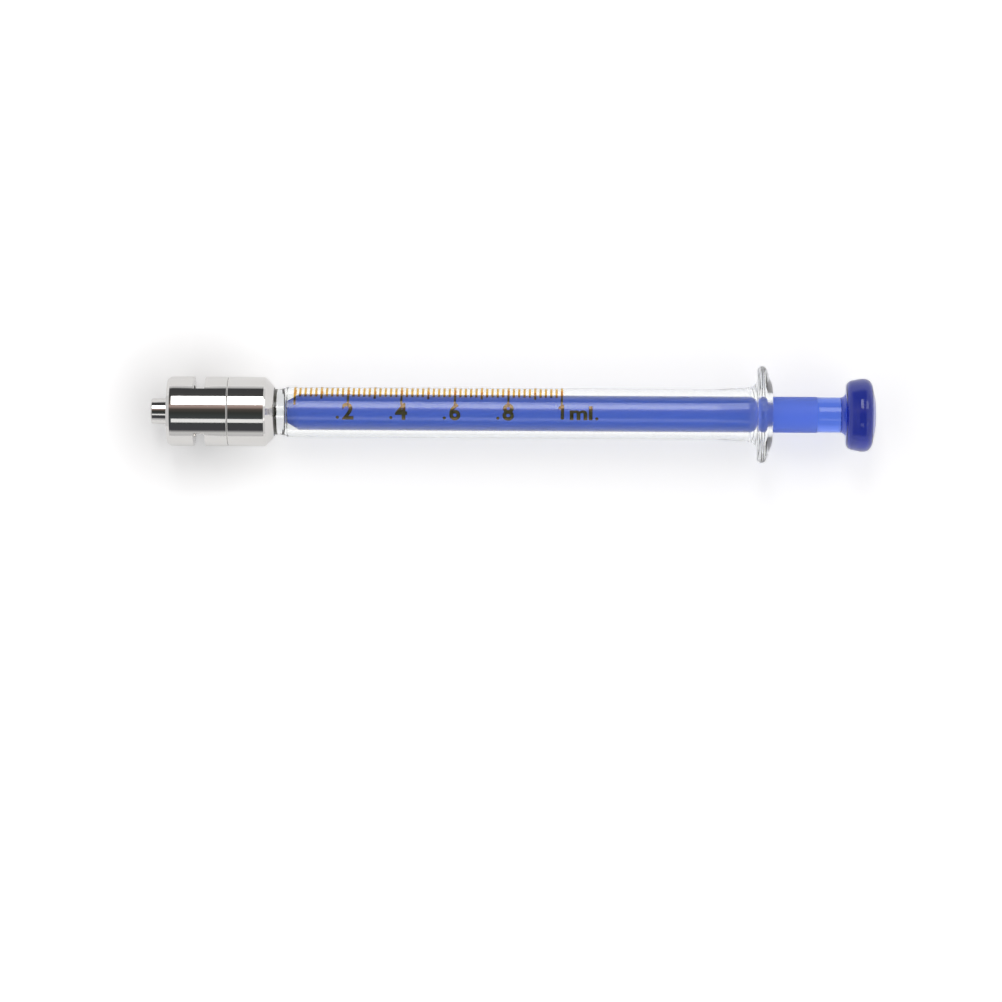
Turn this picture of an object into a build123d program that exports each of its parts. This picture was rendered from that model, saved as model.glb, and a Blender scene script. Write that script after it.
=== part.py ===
from build123d import *
import os

# A reusable 1 mL glass syringe with a metal Luer lock tip. All lengths are in millimetres.
# The syringe lies along the X axis with +Z up. The origin is the middle of the male cone's open end,
# and every place named "..._X" is a distance from that end towards the thumb knob.

# Luer cone and flow channel
CONE_TIP_R = 1.97  # 3.94 mm across at the open end
CONE_TAPER = 0.06  # growth of the diameter per millimetre of length
CONE_END_X = 8.8
CHANNEL_R = 0.65
CONE_EDGE_R = 0.2

# Nozzle behind its cone
SHANK_R = 2.35
NOZZLE_BASE_R = 3.6
NOZZLE_BASE_X = 10.0
NOZZLE_REAR_X = 10.9

# Metal hub: the lock collar in front, the tip ferrule behind
HUB_R = 5.42
COLLAR_FRONT_X = 2.6  # the cone stands this far out of the collar
COLLAR_CHAMFER_END_X = 3.1
COLLAR_FACE_R = 5.05  # front face, inside its chamfer
CAVITY_R = 4.0  # root of the internal thread
CAVITY_EDGE_R = 0.15
WEB_FRONT_X = 9.0
SPIGOT_R = 4.4
JOINT_X = 12.0
JOINT_EDGE_R = 0.12
FERRULE_CHAMFER_X = 17.65
FERRULE_SHOULDER_X = 17.95
FERRULE_SHOULDER_R = 5.27
FERRULE_END_X = 19.1
FERRULE_END_R = 3.95
FERRULE_STEP_X = 17.3

# Internal two-start thread of the lock collar
THREAD_LEAD = 5.0
THREAD_STARTS = 2
THREAD_CREST_R = 3.5
THREAD_CREST_WIDTH = 0.35
THREAD_ROOT_WIDTH = 0.95
THREAD_ROOT_OVERLAP = 0.1  # how far the ridge is sunk into the collar's wall before they are joined
THREAD_FROM_X = 3.3
THREAD_RISE = 2.6

# Two opposed slots across the collar
SLOT_FRONT_X = 6.7
SLOT_WIDTH = 1.8
SLOT_FLOOR = 3.45  # distance of each slot's flat floor from the axis

# Ground bore and plunger: a radius of 2.78 mm and a stroke of 41.2 mm sweep 1 mL
PISTON_R = 2.78
RUNNING_GAP = 0.02  # radial clearance between the ground surfaces
END_GAP = 0.15  # plunger's front end to the end of the bore, pushed right in
BORE_R = PISTON_R + RUNNING_GAP
BORE_END_EDGE_R = 0.3

# Glass barrel
STEM_FRONT_X = 11.6
STEM_R = 2.9
NECK_X = 17.5
NECK_R = 3.68
WAIST_X = 19.9
WAIST_R = 3.52
WAIST_BLEND_R = 2.0
NECK_END_X = 20.7
BARREL_X = 21.1
BARREL_R = 3.9
SHOULDER_BLEND_R = 0.3
FLARE_X = 88.0
FLARE_END_R = 4.35
FLARE_BLEND_R = 12.0
FLANGE_FRONT_X = 93.7
FLANGE_RIM_X = 95.0  # where the rim's cylinder would meet the sloping rear edge
FLANGE_REAR_X = 96.1
FLANGE_REAR_R = 4.6  # where the flat rear ring would meet that edge
FLANGE_R = 7.5
FLANGE_FILLET_R = 1.4
FLANGE_FRONT_EDGE_R = 0.75
FLANGE_RIM_EDGE_R = 0.75
FLANGE_REAR_EDGE_R = 2.0
MOUTH_EDGE_R = 0.5

# Plunger and its knob
PLUNGER_FRONT_X = 21.1
PLUNGER_FRONT_R = 1.7
PLUNGER_FRONT_EDGE_R = 0.15
PLUNGER_CONE_END_X = 23.0
PLUNGER_CONE_EDGE_R = 0.5
GROUND_END_X = 102.9
POLISHED_X = 103.2
POLISHED_R = 2.74
KNOB_NECK_X = 106.9
KNOB_NECK_BLEND_R = 0.7
KNOB_FRONT_X = 107.35
KNOB_FRONT_R = 3.3
KNOB_FACE_R = 5.2
KNOB_FRONT_EDGE_R = 1.2
KNOB_CROWN_X = 109.8
KNOB_CROWN_R = 5.7  # before the crown's own rounding
KNOB_CROWN_EDGE_R = 3.0
KNOB_REAR_X = 111.3
KNOB_REAR_R = 5.57
KNOB_REAR_EDGE_R = 1.4
THUMB_FACE_X = 112.0
THUMB_FACE_R = 2.6

# Cement and washer
CEMENT_FRONT_X = 12.2
CEMENT_GAP = 0.25
CEMENT_REAR_X = 18.7
NECK_GAP = 0.08
WASHER_BORE_R = 0.7
WASHER_R = 3.0


def turned(*outline):
    """Turn a closed outline of (x, radius, corner rounding) points about the X axis."""
    points = [(x, r) for x, r, _ in outline]
    corners = [corner for _, _, corner in outline]
    rim = FilletPolyline(*points, radius=corners, close=True)
    return revolve(make_face(rim), Axis.X)


def luer_nozzle():
    """Male cone, the shank that passes the collar's web, and the base flange that the hub clamps."""
    cone_end_r = CONE_TIP_R + CONE_TAPER / 2 * CONE_END_X
    return turned(
        (0, CHANNEL_R, 0),
        (0, CONE_TIP_R, CONE_EDGE_R),
        (CONE_END_X, cone_end_r, 0),
        (CONE_END_X, SHANK_R, 0),
        (NOZZLE_BASE_X, SHANK_R, 0),
        (NOZZLE_BASE_X, NOZZLE_BASE_R, 0),
        (NOZZLE_REAR_X, NOZZLE_BASE_R, 0),
        (NOZZLE_REAR_X, CHANNEL_R, 0),
    )


def collar_shell():
    """Plain sleeve of the lock collar: front cavity, web with a hole for the shank, rear socket."""
    return turned(
        (COLLAR_FRONT_X, CAVITY_R, CAVITY_EDGE_R),
        (COLLAR_FRONT_X, COLLAR_FACE_R, 0),
        (COLLAR_CHAMFER_END_X, HUB_R, 0),
        (JOINT_X, HUB_R, JOINT_EDGE_R),
        (JOINT_X, SPIGOT_R, 0),
        (NOZZLE_BASE_X, SPIGOT_R, 0),
        (NOZZLE_BASE_X, SHANK_R, 0),
        (WEB_FRONT_X, SHANK_R, 0),
        (WEB_FRONT_X, CAVITY_R, 0),
    )


def thread_ridge():
    """One start of the internal thread: a tapered ridge swept along a helix round the X axis."""
    crest = THREAD_CREST_WIDTH / 2
    root = THREAD_ROOT_WIDTH / 2
    depth = CAVITY_R + THREAD_ROOT_OVERLAP - THREAD_CREST_R
    helix = Helix(
        pitch=THREAD_LEAD,
        height=THREAD_RISE,
        radius=THREAD_CREST_R,
        center=(THREAD_FROM_X, 0, 0),
        direction=(1, 0, 0),
    )
    start = helix @ 0
    outward = Vector(0, start.Y, start.Z).normalized()
    section_plane = Plane(origin=start, x_dir=outward, z_dir=helix % 0)
    section = section_plane * make_face(
        Polyline((0, -crest), (depth, -root), (depth, root), (0, crest), close=True)
    )
    return sweep(section, path=helix, is_frenet=True)


def lock_collar():
    """Collar with its two-start internal thread and two opposed cross slots."""
    collar = collar_shell()
    ridge = thread_ridge()
    for start in range(THREAD_STARTS):
        collar += Rot(X=360 / THREAD_STARTS * start) * ridge
    slot_depth = 2 * (HUB_R - SLOT_FLOOR)
    for side in (-1, 1):
        middle = (SLOT_FRONT_X + SLOT_WIDTH / 2, side * (SLOT_FLOOR + slot_depth / 2), 0)
        collar -= Pos(*middle) * Box(SLOT_WIDTH, slot_depth, 3 * HUB_R)
    return collar


def tip_ferrule():
    """Rear half of the hub: spigot into the collar, gripping sleeve and closing cone."""
    bore_r = STEM_R + CEMENT_GAP
    rear_r = NECK_R + NECK_GAP
    return turned(
        (NOZZLE_REAR_X, bore_r, 0),
        (NOZZLE_REAR_X, SPIGOT_R, 0),
        (JOINT_X, SPIGOT_R, 0),
        (JOINT_X, HUB_R, JOINT_EDGE_R),
        (FERRULE_CHAMFER_X, HUB_R, 0),
        (FERRULE_SHOULDER_X, FERRULE_SHOULDER_R, 0),
        (FERRULE_END_X, FERRULE_END_R, 0),
        (FERRULE_END_X, rear_r, 0),
        (FERRULE_STEP_X, rear_r, 0),
        (FERRULE_STEP_X, bore_r, 0),
    )


def tip_washer():
    """Soft ring between the nozzle's base and the end of the glass stem."""
    return turned(
        (NOZZLE_REAR_X, WASHER_BORE_R, 0),
        (NOZZLE_REAR_X, WASHER_R, 0),
        (STEM_FRONT_X, WASHER_R, 0),
        (STEM_FRONT_X, WASHER_BORE_R, 0),
    )


def cement_ring():
    """Stepped bond line that fills the space between glass and ferrule."""
    bore_r = STEM_R + CEMENT_GAP
    rear_r = NECK_R + NECK_GAP
    return turned(
        (CEMENT_FRONT_X, STEM_R, 0),
        (CEMENT_FRONT_X, bore_r, 0),
        (FERRULE_STEP_X, bore_r, 0),
        (FERRULE_STEP_X, rear_r, 0),
        (CEMENT_REAR_X, rear_r, 0),
        (CEMENT_REAR_X, NECK_R, 0),
        (NECK_X, NECK_R, 0),
        (NECK_X, STEM_R, 0),
    )


def glass_barrel():
    """Stem, neck, graduated tube and finger flange in one piece of glass, with its ground bore."""
    bore_end_x = PLUNGER_FRONT_X - END_GAP
    return turned(
        (STEM_FRONT_X, CHANNEL_R, 0),
        (STEM_FRONT_X, STEM_R, 0),
        (NECK_X, STEM_R, 0),
        (NECK_X, NECK_R, 0),
        (WAIST_X, WAIST_R, WAIST_BLEND_R),
        (NECK_END_X, NECK_R, 0),
        (BARREL_X, BARREL_R, SHOULDER_BLEND_R),
        (FLARE_X, BARREL_R, FLARE_BLEND_R),
        (FLANGE_FRONT_X, FLARE_END_R, FLANGE_FILLET_R),
        (FLANGE_FRONT_X, FLANGE_R, FLANGE_FRONT_EDGE_R),
        (FLANGE_RIM_X, FLANGE_R, FLANGE_RIM_EDGE_R),
        (FLANGE_REAR_X, FLANGE_REAR_R, FLANGE_REAR_EDGE_R),
        (FLANGE_REAR_X, BORE_R, MOUTH_EDGE_R),
        (bore_end_x, BORE_R, BORE_END_EDGE_R),
        (bore_end_x, CHANNEL_R, 0),
    )


def plunger():
    """Ground piston, polished neck and thumb knob in one piece of blue glass."""
    return turned(
        (PLUNGER_FRONT_X, 0, 0),
        (PLUNGER_FRONT_X, PLUNGER_FRONT_R, PLUNGER_FRONT_EDGE_R),
        (PLUNGER_CONE_END_X, PISTON_R, PLUNGER_CONE_EDGE_R),
        (GROUND_END_X, PISTON_R, 0),
        (POLISHED_X, POLISHED_R, 0),
        (KNOB_NECK_X, POLISHED_R, KNOB_NECK_BLEND_R),
        (KNOB_FRONT_X, KNOB_FRONT_R, 0),
        (KNOB_FRONT_X, KNOB_FACE_R, KNOB_FRONT_EDGE_R),
        (KNOB_CROWN_X, KNOB_CROWN_R, KNOB_CROWN_EDGE_R),
        (KNOB_REAR_X, KNOB_REAR_R, KNOB_REAR_EDGE_R),
        (THUMB_FACE_X, THUMB_FACE_R, 0),
        (THUMB_FACE_X, 0, 0),
    )


PARTS = (
    luer_nozzle,
    lock_collar,
    tip_ferrule,
    tip_washer,
    cement_ring,
    glass_barrel,
    plunger,
)

os.makedirs("parts", exist_ok=True)
for make_part in PARTS:
    export_step(make_part(), f"parts/{make_part.__name__}.step")
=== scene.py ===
"""Looks of a reusable 1 mL glass syringe with a metal Luer lock tip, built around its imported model."""

import math

import bmesh
import bpy
from bpy.props import FloatProperty, FloatVectorProperty, IntProperty, PointerProperty
from bpy.types import NodeSocket, Operator, Panel, PropertyGroup
from mathutils import Matrix, Quaternion, Vector


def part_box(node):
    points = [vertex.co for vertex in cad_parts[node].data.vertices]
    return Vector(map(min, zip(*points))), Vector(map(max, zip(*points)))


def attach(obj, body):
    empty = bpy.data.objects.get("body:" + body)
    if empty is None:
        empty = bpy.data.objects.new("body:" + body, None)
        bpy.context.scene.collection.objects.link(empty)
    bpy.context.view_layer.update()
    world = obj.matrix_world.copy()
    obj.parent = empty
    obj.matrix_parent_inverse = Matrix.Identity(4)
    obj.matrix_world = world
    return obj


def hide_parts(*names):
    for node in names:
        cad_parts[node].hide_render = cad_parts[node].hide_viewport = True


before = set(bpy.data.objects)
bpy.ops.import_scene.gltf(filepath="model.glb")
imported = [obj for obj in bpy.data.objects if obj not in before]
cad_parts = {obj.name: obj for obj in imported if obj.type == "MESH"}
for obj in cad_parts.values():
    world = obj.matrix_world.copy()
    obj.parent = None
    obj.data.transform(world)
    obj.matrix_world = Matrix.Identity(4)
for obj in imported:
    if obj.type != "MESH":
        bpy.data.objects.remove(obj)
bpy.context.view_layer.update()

bl_info = {
    "name": "Glass Syringe",
    "version": (1, 0, 0),
    "blender": (4, 5, 0),
    "location": "View3D > Sidebar > Syringe",
    "description": "Builds the pieces, finishes and studio of a small Luer lock glass syringe",
    "category": "Add Mesh",
}

BARREL_BODY = "barrel"
PISTON_BODY = "piston"
TURN_SEGMENTS = 192
ARC_STEP = math.radians(6)
LONG_STRETCH = 0.0003
SUPPORT_GAP = 0.00002
SHARP_ANGLE = math.radians(32)
ON_AXIS = 1e-9
MERGE_DISTANCE = 1e-7
WALL_TOLERANCE = 0.00001
TOOL_EDGE = 0.00005
SOFT_EDGE = 0.0001
CUT_OVERRUN = 0.001
# Colours of the room at angles round the syringe, in degrees from the top towards +Y.
ROOM_BANDS = (
    (-76, (0.80, 0.80, 0.80)),
    (-66, (0.08, 0.08, 0.09)),
    (-20, (0.07, 0.08, 0.08)),
    (-6, (0.05, 0.055, 0.05)),
    (6, (0.10, 0.085, 0.075)),
    (17, (0.62, 0.47, 0.43)),
    (24, (0.20, 0.15, 0.13)),
    (52, (0.08, 0.08, 0.08)),
    (82, (0.07, 0.07, 0.075)),
    (92, (0.80, 0.80, 0.80)),
)
AXIS = Vector((1, 0, 0))


# Settings ---------------------------------------------------------------------------------------

def length(name, default, description):
    """A size in metres."""
    return FloatProperty(
        name=name, default=default, description=description, min=0, precision=5, unit="LENGTH"
    )


def turn_angle(name, degrees, description):
    """An angle; places round the tube are counted from the top towards +Y."""
    return FloatProperty(
        name=name, default=math.radians(degrees), description=description, subtype="ANGLE"
    )


def ratio(name, default, description):
    """A plain number."""
    return FloatProperty(name=name, default=default, description=description, precision=3)


def tint(name, default, description):
    """A linear colour."""
    return FloatVectorProperty(
        name=name, default=default, description=description, subtype="COLOR", size=3, min=0, max=1
    )


def front(node):
    """Where a CAD node starts along the axis."""
    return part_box(node)[0].x


def rear(node):
    """Where a CAD node ends along the axis."""
    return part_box(node)[1].x


def radius(node):
    """The largest radius of a CAD node."""
    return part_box(node)[1].z


class BarrelSettings(PropertyGroup):
    """Sizes of the glass barrel."""

    tube_radius: length("Tube radius", 0.0039, "Outside radius of the graduated tube")
    bore_radius: length("Bore radius", 0.0028, "Radius of the ground bore")
    stem_radius: length("Stem radius", 0.0029, "Radius of the stem inside the ferrule")
    neck_start: length("Neck start", 0.0175, "Where the stem steps up to the neck")
    neck_radius: length("Neck radius", 0.00368, "Radius of the neck behind the ferrule")
    waist: length("Waist", 0.0199, "Where the neck is narrowest")
    waist_radius: length("Waist radius", 0.00352, "Radius of the neck at its waist")
    neck_end: length("Neck end", 0.0207, "Where the neck starts to widen to the tube")
    tube_start: length("Tube start", 0.0211, "Where the full tube radius is reached")
    flare_start: length("Flare start", 0.088, "Where the tube starts to flare to the flange")
    flare_radius: length("Flare radius", 0.00435, "Radius where the flare would meet the flange")
    flange_front: length("Flange front", 0.0937, "Front face of the flange")
    flange_rim: length("Flange rim", 0.0950, "Where the rim meets the sloping rear edge")
    flange_flat: length("Flange flat", 0.0046, "Radius of the flange's flat rear ring")
    channel_radius: length("Channel radius", 0.00065, "Radius of the flow channel")
    end_gap: length("End gap", 0.00015, "Gap between the bore's end and the closed plunger")
    channel_edge: length("Channel edge", 0.00008, "Rounding where the channel leaves the stem")
    stem_edge: length("Stem edge", 0.0002, "Rounding of the stem's front")
    waist_blend: length("Waist blend", 0.002, "Rounding of the neck's waist")
    neck_blend: length("Neck blend", 0.00015, "Rounding where the neck starts to widen")
    tube_blend: length("Tube blend", 0.0003, "Rounding where the tube starts")
    flare_blend: length("Flare blend", 0.012, "Rounding where the tube starts to flare")
    flange_root: length("Flange root", 0.0014, "Rounding between the flare and the flange")
    rim_edge: length("Rim edge", 0.00075, "Rounding of the rim's two edges")
    rear_edge: length("Rear edge", 0.002, "Rounding from the sloping edge to the rear ring")
    mouth_edge: length("Mouth edge", 0.0005, "Rounding of the bore's mouth")
    bore_end_edge: length("Bore end edge", 0.0003, "Rounding of the bore's closed end")
    lap_inset: length("Lap inset", 0.0004, "Distance of the ground zone from the bore's mouth")


class PlungerSettings(PropertyGroup):
    """Sizes of the plunger and its knob."""

    piston_radius: length("Piston radius", 0.00278, "Radius of the ground piston")
    tip_radius: length("Tip radius", 0.0017, "Radius of the flat front end")
    cone_end: length("Cone end", 0.023, "Where the front cone reaches the piston radius")
    ground_end: length("Ground end", 0.1029, "Where the ground zone ends")
    neck_start: length("Neck start", 0.1032, "Where the polished neck starts")
    neck_radius: length("Neck radius", 0.00274, "Radius of the polished neck")
    neck_end: length("Neck end", 0.1069, "Where the neck starts to flare to the knob")
    knob_front: length("Knob front", 0.10735, "Front of the knob")
    knob_root: length("Knob root", 0.0033, "Radius where the flare meets the knob's front")
    knob_face: length("Knob face", 0.0052, "Radius of the knob's front face")
    crown: length("Crown", 0.1098, "Where the knob is widest")
    crown_radius: length("Crown radius", 0.0057, "Knob's radius there, before its rounding")
    knob_rear: length("Knob rear", 0.1113, "Rear of the knob at its rim")
    knob_rim: length("Knob rim", 0.00557, "Radius of the knob's rear rim")
    thumb_radius: length("Thumb radius", 0.0026, "Radius of the flat middle of the rear face")
    tip_edge: length("Tip edge", 0.00015, "Rounding of the flat front end")
    ground_blend: length("Ground blend", 0.0005, "Rounding at both ends of the ground zone")
    knob_root_blend: length("Knob root blend", 0.0007, "Rounding between the neck and its flare")
    knob_front_edge: length("Knob front edge", 0.0012, "Rounding of the knob's front edge")
    crown_edge: length("Crown edge", 0.003, "Rounding of the knob where it is widest")
    knob_rear_edge: length("Knob rear edge", 0.0014, "Rounding of the knob's rear rim")
    thumb_blend: length("Thumb blend", 0.004, "Rounding round the flat middle")


class HubSettings(PropertyGroup):
    """Sizes of the metal hub and the nozzle."""

    cone_radius: length("Cone radius", 0.00197, "Radius of the male cone's open end")
    cone_taper: ratio("Cone taper", 0.06, "Growth of the cone's diameter per length")
    cone_end: length("Cone end", 0.0088, "Where the cone ends in the collar")
    shank_radius: length("Shank radius", 0.00235, "Radius of the nozzle where it passes the web")
    base_front: length("Base front", 0.010, "Front of the nozzle's base flange")
    web_front: length("Web front", 0.009, "Floor of the collar's cavity")
    cavity_radius: length("Cavity radius", 0.004, "Radius of the collar's cavity")
    spigot_radius: length("Spigot radius", 0.0044, "Radius of the ferrule's spigot")
    joint_groove: length("Joint groove", 0.00016, "Edge rounding on each side of the joint")
    face_radius: length("Face radius", 0.00505, "Radius of the collar's face inside its chamfer")
    chamfer_end: length("Chamfer end", 0.0031, "Where the collar's front chamfer ends")
    lead_length: length("Lead length", 0.00036, "Length of the slight taper behind the chamfer")
    lead_depth: length("Lead depth", 0.000028, "How much thinner that taper is at its front")
    rear_chamfer: length("Rear chamfer", 0.01765, "Where the ferrule's chamfer starts")
    slot_front: length("Slot front", 0.0067, "Front of the two cross slots")
    slot_width: length("Slot width", 0.0018, "Width of the two cross slots")
    slot_floor: length("Slot floor", 0.00345, "Distance of the slot floors from the axis")
    shoulder: length("Shoulder", 0.01795, "Where the ferrule's cone starts")
    shoulder_radius: length("Shoulder radius", 0.00527, "Radius where the ferrule's cone starts")
    ferrule_step: length("Ferrule step", 0.0173, "Step between the ferrule's two bores")
    ferrule_end_radius: length("Ferrule end", 0.00395, "Radius of the ferrule's rear edge")
    stem_bore: length("Stem bore", 0.00315, "Radius of the ferrule's front bore")
    neck_bore: length("Neck bore", 0.00376, "Radius of the ferrule's rear bore")
    thread_lead: length("Thread lead", 0.005, "Advance of the lock thread per turn")
    thread_crest: length("Thread crest", 0.0035, "Radius of the lock thread's crests")
    thread_start: length("Thread start", 0.0033, "Where the lock thread starts")
    thread_length: length("Thread length", 0.0026, "Length of the lock thread along the axis")
    thread_starts: IntProperty(
        name="Thread starts", default=2, min=1, description="Number of thread starts"
    )
    crest_width: length("Crest width", 0.00035, "Width of the lock thread at its crest")
    root_width: length("Root width", 0.00095, "Width of the lock thread at its root")
    root_sink: length("Root sink", 0.00005, "How far the thread's root sinks into the wall")
    mouth_edge: length("Mouth edge", 0.00018, "Rounding of the collar's inner front edge")
    face_edge: length("Face edge", 0.00006, "Rounding round the collar's face")
    chamfer_edge: length("Chamfer edge", 0.00008, "Rounding behind the collar's front chamfer")
    cavity_edge: length("Cavity edge", 0.0002, "Rounding of the cavity's floor")
    channel_edge: length("Channel edge", 0.00012, "Rounding of the cone's open channel")
    cone_edge: length("Cone edge", 0.00022, "Rounding of the cone's open end")
    ferrule_edge: length("Ferrule edge", 0.00006, "Rounding of the ferrule's rear edge")
    lip_edge: length("Lip edge", 0.00003, "Rounding of the ferrule's inner rear edge")


class ScaleSettings(PropertyGroup):
    """Sizes of the fired scale."""

    zero: length("Zero line", 0.0224, "Where the zero line is")
    capacity_length: length("Capacity length", 0.0412, "Distance from zero to the capacity line")
    divisions: IntProperty(
        name="Divisions", default=50, min=1, description="Number of divisions in the capacity"
    )
    line_width: length("Line width", 0.00035, "Width of a line")
    film: length("Film", 0.000012, "Thickness of the stain")
    film_gap: length("Film gap", 0.000006, "Gap between the glass and the stain's underside")
    short_from: turn_angle("Short from", 72, "Upper end of a short line")
    short_to: turn_angle("Short to", 37, "Lower end of a short line")
    middle_from: turn_angle("Middle from", 88, "Upper end of a middle line")
    middle_to: turn_angle("Middle to", 31, "Lower end of a middle line")
    long_from: turn_angle("Long from", 100, "Upper end of a long line")
    long_to: turn_angle("Long to", 15, "Lower end of a long line")
    baseline: length("Baseline", 0.0010, "Arc from the top to the feet of the unit and figure 1")
    digit_size: length("Digit size", 0.0029, "Type size of the numerals")
    digit_drop: length("Digit drop", 0.0001, "How far the other numerals stand below that")
    digit_wide: ratio("Digit width", 1.22, "Stretch of the numerals along the tube")
    digit_tall: ratio("Digit height", 1.2, "Stretch of the numerals round the tube")
    unit_wide: ratio("Unit width", 1.3, "Stretch of the unit along the tube")
    dot_scale: ratio("Dot scale", 0.9, "Size of the dots against the type size")
    dot_lead: length("Dot lead", 0.0016, "Distance of a decimal point ahead of its line")
    one_shift: length("One shift", 0.0001, "Distance of the figure 1 behind its line")
    unit_shift: length("Unit shift", 0.0030, "Distance of the unit behind the last line")
    full_stop: length("Full stop", 0.0054, "Distance of the unit's full stop behind that line")
    one_height: ratio("One height", 0.78, "Height of the figure 1 against the type size")
    stem_width: length("Stem width", 0.00052, "Width of the figure 1's stem")
    flag_length: length("Flag length", 0.00036, "How far the figure 1's flag stands out")
    digit_weight: length("Digit weight", 0.0001, "How far the numerals' outlines are thickened")


class FinishSettings(PropertyGroup):
    """Colours and roughness of the finishes."""

    glass_tint: tint("Glass tint", (0.975, 0.99, 0.985), "Tint of the clear glass")
    glass_ior: ratio("Glass index", 1.473, "Refractive index of the glass")
    glass_waves: length("Glass waves", 0.0000007, "Height of the waves in the drawn glass")
    bore_roughness: ratio("Bore roughness", 0.12, "Roughness of the ground bore")
    bore_spread: ratio("Bore spread", 0.3, "Share by which that varies either way")
    ground_tint: tint("Ground tint", (0.40, 0.55, 1.0), "Surface tint of the ground piston")
    ground_clarity: ratio("Ground clarity", 0.95, "Share of light that the ground surface lets in")
    ground_roughness: ratio("Ground roughness", 0.55, "Roughness of the ground piston")
    ground_spread: ratio("Ground spread", 0.06, "How far that roughness varies either way")
    ground_marks: length("Ground marks", 0.000002, "Height of the grinding marks")
    polished_tint: tint("Polished tint", (0.47, 0.61, 0.98), "Surface tint of the neck")
    polished_roughness: ratio("Polished roughness", 0.03, "Roughness of the polished glass")
    polished_ripples: length("Polished ripples", 0.00001, "Height of its flame ripples")
    polish_fade: length("Polish fade", 0.0002, "Length over which ground turns to polished")
    knob_tint: tint("Knob tint", (0.37, 0.28, 0.44), "Surface tint of the knob")
    knob_fade: length("Knob fade", 0.0006, "Length over which the knob's tint comes in")
    blue_depth: tint("Blue depth", (0.12, 0.36, 0.88), "Colour that the blue glass lets through")
    blue_density: ratio("Blue density", 300, "How strongly the blue glass absorbs")
    chrome: tint("Chrome", (0.63, 0.62, 0.605), "Reflection colour of the plated metal")
    chrome_bright: ratio("Chrome bright", 0.045, "Least roughness of the plated metal")
    chrome_hazy: ratio("Chrome hazy", 0.10, "Most roughness of the plated metal")
    stain: tint("Stain", (0.84, 0.48, 0.06), "Colour of the fired stain")
    stain_deep: ratio("Deep stain", 0.80, "Brightness of its darkest patches against the rest")
    seal: tint("Seal", (0.80, 0.80, 0.78), "Colour of the soft washer")
    cement: tint("Cement", (0.62, 0.60, 0.54), "Colour of the bonding cement")


class StudioSettings(PropertyGroup):
    """Camera, lights and floor."""

    camera_distance: length("Camera distance", 0.775, "Distance of the camera from the axis")
    camera_lens: ratio("Lens", 180, "Focal length in millimetres")
    aim_x: length("Aim along", 0.05425, "Point on the axis plane that the camera faces")
    aim_y: FloatProperty(
        name="Aim across", default=-0.0136, description="Its distance beside the axis", unit="LENGTH"
    )
    roll: turn_angle("Roll", 0.36, "Turn of the camera about its own axis")
    lamp_distance: length("Lamp distance", 2.0, "Distance of both rows of lamps")
    key_angle: turn_angle("Key angle", 35.5, "Middle of the wide lamps, from the top towards +Y")
    key_width: length("Key width", 1.02, "Width of the wide lamps")
    key_radiance: ratio("Key radiance", 3.9, "Brightness of the wide lamps' faces")
    strip_angle: turn_angle("Strip angle", -32, "Middle of the narrow lamps")
    strip_width: length("Strip width", 0.43, "Width of the narrow lamps")
    strip_radiance: ratio("Strip radiance", 1.15, "Brightness of the narrow lamps' faces")
    lamp_start: FloatProperty(
        name="Lamp start", default=-0.34, description="Where the lamps start", unit="LENGTH"
    )
    lamp_length: length("Lamp length", 0.545, "Length of the lamps along the syringe")
    next_lamp: length("Next lamp", 0.75, "Where the second lamps of both rows start")
    next_length: length("Next length", 1.5, "Length of the second lamps")
    next_share: ratio("Next share", 0.55, "Brightness of the second lamps against the first")
    side_glow: ratio("Side glow", 0.88, "Brightness of the room beyond the syringe's two ends")
    side_from: ratio("Side from", 0.30, "Where that glow starts, as a share of the way to an end")
    side_full: ratio("Side full", 0.42, "Where it is full")
    horizon_full: ratio("Horizon full", 0.10, "Height below which the room is pale all round")
    horizon_end: ratio("Horizon end", 0.17, "Height above which it isn't pale")
    horizon_tint: tint("Horizon tint", (0.75, 0.75, 0.76), "Colour of the room near the table")
    table_glow: ratio("Table glow", 0.5, "Light that the table itself gives off")
    # These three dim the table's glow round the hub: a painted shadow.
    hub_dim: ratio("Hub dim", 0.3, "Share of that light left in the table's dimmer place")
    hub_middle: length("Hub middle", 0.006, "Middle of the table's dimmer place")
    hub_shade: length("Hub shade", 0.015, "Radius of the table's dimmer place")
    floor_size: length("Floor size", 6.0, "Side of the floor")
    floor_gap: length("Floor gap", 0.00001, "Gap under the two rims that the syringe rests on")
    rest_inset: length("Rest inset", 0.0003, "How far behind its face the collar rests")


# Mesh helpers -----------------------------------------------------------------------------------

def supported(points, closed):
    """The same outline with a point close to both ends of each long stretch, for even shading."""
    stretches = list(zip(points, points[1:]))
    if closed:
        stretches.append((points[-1], points[0]))
    result = []
    for here, after in stretches:
        result.append(here)
        run = after - here
        if run.length > LONG_STRETCH:
            nudge = run.normalized() * SUPPORT_GAP
            result += [here + nudge, after - nudge]
    if not closed:
        result.append(points[-1])
    return result


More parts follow.
